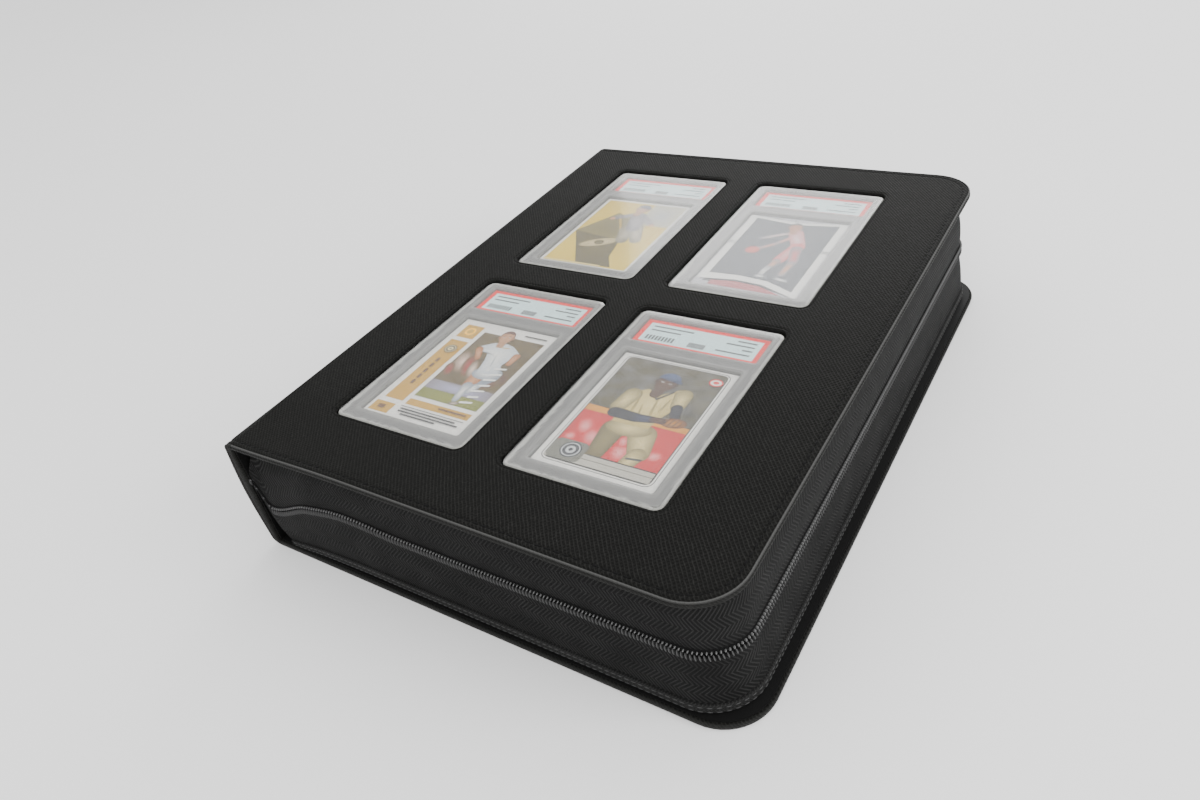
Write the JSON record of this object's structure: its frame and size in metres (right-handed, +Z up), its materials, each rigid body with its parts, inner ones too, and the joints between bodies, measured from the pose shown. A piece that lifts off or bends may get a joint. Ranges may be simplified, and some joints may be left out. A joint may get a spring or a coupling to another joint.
{
  "type": "trading card binder",
  "caption": "Zip-around black leather-look binder for graded cards: windowed front cover, herringbone zip gusset, ring mechanism and pocket pages.",
  "frame": {"origin": "middle of the closed binder's footprint, on the table", "axes": "+X from the spine to the fore-edge, +Y towards the tops of the cards, +Z up through the front cover"},
  "size_m": [0.284, 0.374, 0.075],
  "materials": {
    "leather": "black cross-grain embossed synthetic leather, satin",
    "board": "grey greyboard stiffener, hidden",
    "lining": "black smooth woven lining",
    "gusset_tape": "black herringbone woven zip tape, matte",
    "zip_coil": "black moulded coil, semi-gloss",
    "zip_metal": "black enamelled die-cast metal",
    "ring_steel": "nickel-plated steel, bright",
    "window_film": "clear flexible film, glossy",
    "case": "clear hard plastic with a frosted welded rim",
    "card": "printed card, semi-gloss",
    "label": "printed label, matte",
    "loaded_pocket": "clear film over clear card cases",
    "page_sheet": "black matte plastic sheet"
  },
  "bodies": {
    "back_cover": {"back_cover_leather": "leather", "back_cover_board": "board", "back_cover_lining": "lining", "lower_gusset_tape": "gusset_tape", "lower_gusset_hem": "gusset_tape", "lower_zip_coil": "zip_coil", "zip_stop_near": "zip_metal", "zip_stop_far": "zip_metal", "ring_cover_plate": "ring_steel", "plate_rivet_near": "ring_steel", "plate_rivet_far": "ring_steel"},
    "spine": {"spine_leather": "leather", "spine_board": "board", "spine_lining": "lining"},
    "front_cover": {"front_cover_leather": "leather", "front_cover_board": "board", "front_cover_lining": "lining", "upper_gusset_tape": "gusset_tape", "upper_gusset_hem": "gusset_tape", "upper_zip_coil": "zip_coil", "window_film_1": "window_film", "window_film_2": "window_film", "window_film_3": "window_film", "window_film_4": "window_film", "window_pocket_1": "lining", "window_pocket_2": "lining", "window_pocket_3": "lining", "window_pocket_4": "lining", "case_front_1": "case", "case_front_2": "case", "case_front_3": "case", "case_front_4": "case", "case_back_1": "case", "case_back_2": "case", "case_back_3": "case", "case_back_4": "case", "card_1": "card", "card_2": "card", "card_3": "card", "card_4": "card", "label_1": "label", "label_2": "label", "label_3": "label", "label_4": "label"},
    "ring_right": {"ring_half_right": "ring_steel"},
    "ring_left": {"ring_half_left": "ring_steel"},
    "ring_lever_near": {"ring_lever_near": "ring_steel"},
    "ring_lever_far": {"ring_lever_far": "ring_steel"},
    "page_1": {"page_1": "page_sheet", "page_1_pockets": "loaded_pocket"},
    "page_2": {"page_2": "page_sheet", "page_2_pockets": "loaded_pocket"},
    "page_3": {"page_3": "page_sheet", "page_3_pockets": "loaded_pocket"},
    "page_4": {"page_4": "page_sheet", "page_4_pockets": "loaded_pocket"},
    "slider": {"zip_slider": "zip_metal", "zip_slider_inner_plate": "zip_metal"},
    "pull": {"pull_tab": "zip_metal"}
  },
  "joints": [
    {"name": "spine_fold", "type": "hinge", "parent": "back_cover", "child": "spine", "pos_m": [-0.14, 0, 0.002], "axis": [0, -1, 0], "range_deg": [0, 90]},
    {"name": "front_cover_fold", "type": "hinge", "parent": "spine", "child": "front_cover", "pos_m": [-0.14, 0, 0.073], "axis": [0, -1, 0], "range_deg": [0, 90]},
    {"name": "ring_right_swing", "type": "hinge", "parent": "back_cover", "child": "ring_right", "pos_m": [-0.111, 0, 0.007], "axis": [0, 1, 0], "range_deg": [0, 5]},
    {"name": "ring_left_swing", "type": "hinge", "parent": "back_cover", "child": "ring_left", "pos_m": [-0.111, 0, 0.007], "axis": [0, 1, 0], "range_deg": [-5, 0]},
    {"name": "ring_lever_far_swing", "type": "hinge", "parent": "back_cover", "child": "ring_lever_far", "pos_m": [-0.111, 0.127, 0.0069], "axis": [-1, 0, 0], "range_deg": [0, 30]},
    {"name": "ring_lever_near_swing", "type": "hinge", "parent": "back_cover", "child": "ring_lever_near", "pos_m": [-0.111, -0.127, 0.0069], "axis": [1, 0, 0], "range_deg": [0, 30]},
    {"name": "page_1_turn", "type": "hinge", "parent": "back_cover", "child": "page_1", "pos_m": [-0.111, 0, 0.026], "axis": [0, -1, 0], "range_deg": [0, 1.5]},
    {"name": "page_2_turn", "type": "hinge", "parent": "back_cover", "child": "page_2", "pos_m": [-0.111, 0, 0.026], "axis": [0, -1, 0], "range_deg": [0, 3.5]},
    {"name": "page_3_turn", "type": "hinge", "parent": "back_cover", "child": "page_3", "pos_m": [-0.111, 0, 0.026], "axis": [0, -1, 0], "range_deg": [0, 183]},
    {"name": "page_4_turn", "type": "hinge", "parent": "back_cover", "child": "page_4", "pos_m": [-0.111, 0, 0.026], "axis": [0, -1, 0], "range_deg": [0, 183]},
    {"name": "zip_run", "type": "slide", "parent": "back_cover", "child": "slider", "axis": [1, 0, 0], "range_m": [0, 0.2]},
    {"name": "pull_swing", "type": "hinge", "parent": "slider", "child": "pull", "pos_m": [-0.112, 0.185, 0.0386], "axis": [0, 0, 1], "range_deg": [0, 120]}
  ],
  "couplings": [
    {"joint": "front_cover_fold", "follows": "spine_fold", "ratio": 1},
    {"joint": "ring_left_swing", "follows": "ring_right_swing", "ratio": -1},
    {"joint": "ring_lever_far_swing", "follows": "ring_right_swing", "ratio": 6},
    {"joint": "ring_lever_near_swing", "follows": "ring_right_swing", "ratio": 6},
    {"joint": "page_1_turn", "follows": "spine_fold", "ratio": 0.011111},
    {"joint": "page_2_turn", "follows": "spine_fold", "ratio": 0.033333},
    {"joint": "page_3_turn", "follows": "spine_fold", "ratio": 2.03},
    {"joint": "page_4_turn", "follows": "spine_fold", "ratio": 2.03}
  ]
}
